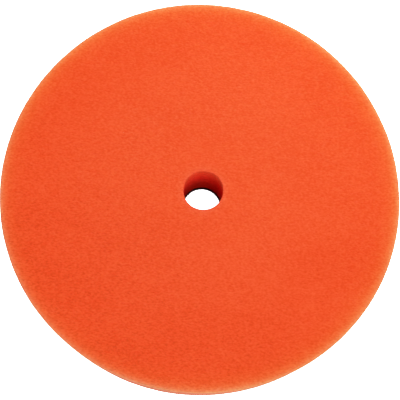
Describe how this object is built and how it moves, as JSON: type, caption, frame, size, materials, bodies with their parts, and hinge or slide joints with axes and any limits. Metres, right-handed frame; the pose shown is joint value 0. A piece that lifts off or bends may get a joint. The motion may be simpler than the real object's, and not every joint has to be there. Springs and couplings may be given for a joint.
{
  "type": "polishing pad",
  "caption": "Round flat foam polishing pad with a nearly upright side wall, a low undercut, a centre hole and a hook-and-loop cloth back.",
  "frame": {"origin": "on the centre hole's axis, at the tips of the loops the pad rests on", "axes": "+Z along the centre hole's axis, out of the working face; X and Y lie in the plane of the pad, which is round"},
  "size_m": [0.165, 0.165, 0.03],
  "materials": {
    "orange_foam": "matte open-cell foam",
    "clear_glue": "thin satin hot-melt web",
    "black_knit": "matte warp knit",
    "black_pile": "brushed loop pile"
  },
  "bodies": {
    "root": {"foam_disc": "orange_foam", "glue_film": "clear_glue", "ground_knit": "black_knit", "loop_pile": "black_pile"}
  },
  "joints": []
}
